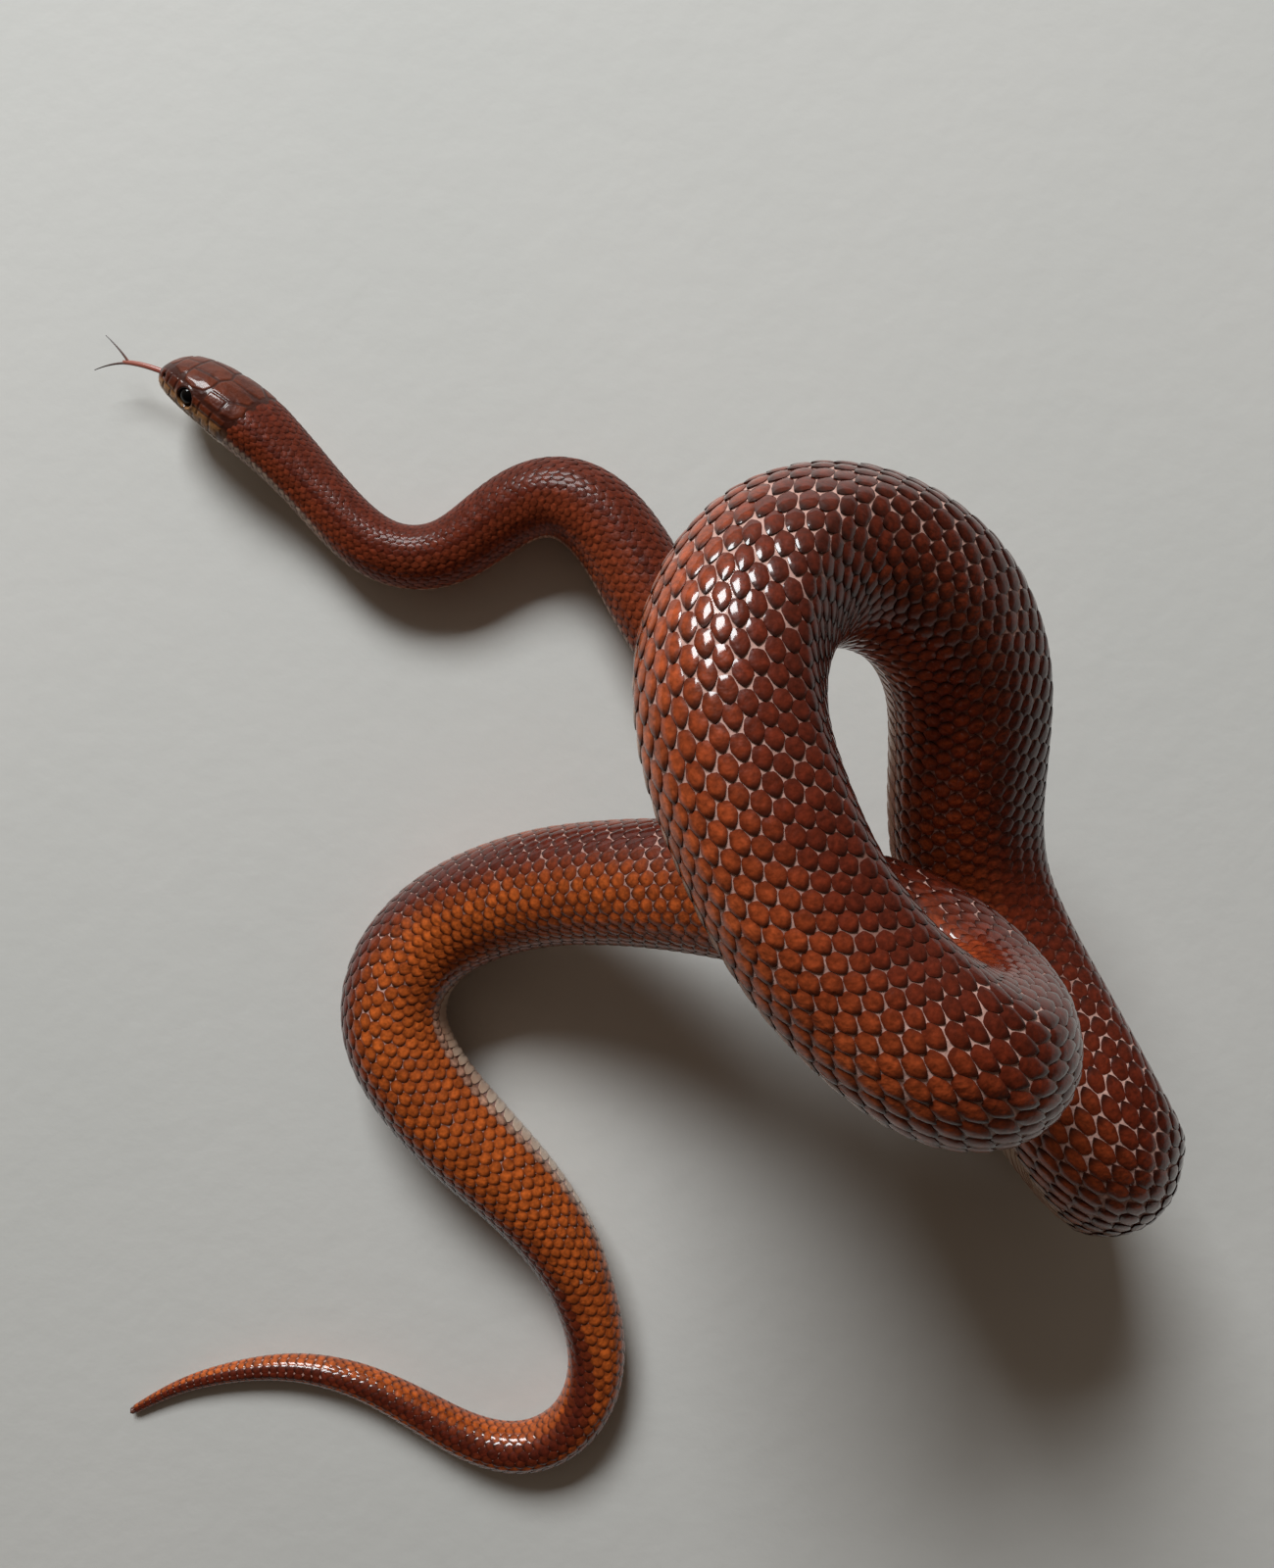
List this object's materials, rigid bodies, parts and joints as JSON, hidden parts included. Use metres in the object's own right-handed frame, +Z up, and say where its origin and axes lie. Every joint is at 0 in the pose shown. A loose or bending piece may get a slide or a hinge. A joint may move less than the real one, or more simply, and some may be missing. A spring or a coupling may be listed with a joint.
{
  "type": "corn snake",
  "caption": "Life-size still model of a red-brown corn snake with piled coils, head stretched out and forked tongue showing.",
  "frame": {"origin": "centre of the model's footprint, on the floor that it lies on", "axes": "+Z up through the piled coils, +X to the right and +Y to the top of the picture, which looks straight down"},
  "size_m": [0.2154, 0.2418, 0.1056],
  "materials": {
    "scales_back": "glossy scales",
    "scales_flank": "glossy scales",
    "jaw": "satin",
    "eye": "wet gloss",
    "tongue": "moist"
  },
  "bodies": {
    "root": {"head_top": "scales_back", "lower_jaw": "jaw", "eye_left": "eye", "eye_right": "eye", "tongue": "tongue", "neck": "scales_flank", "body_01": "scales_back", "body_02": "scales_flank", "body_03": "scales_back", "body_04": "scales_flank", "body_05": "scales_back", "body_06": "scales_flank", "body_07": "scales_back", "body_08": "scales_flank", "body_09": "scales_back", "body_10": "scales_flank", "body_11": "scales_back", "body_12": "scales_flank", "body_13": "scales_back", "body_14": "scales_flank", "body_15": "scales_back", "body_16": "scales_flank", "tail_base": "scales_back", "tail_middle": "scales_flank", "tail_tip": "scales_back"}
  },
  "joints": []
}
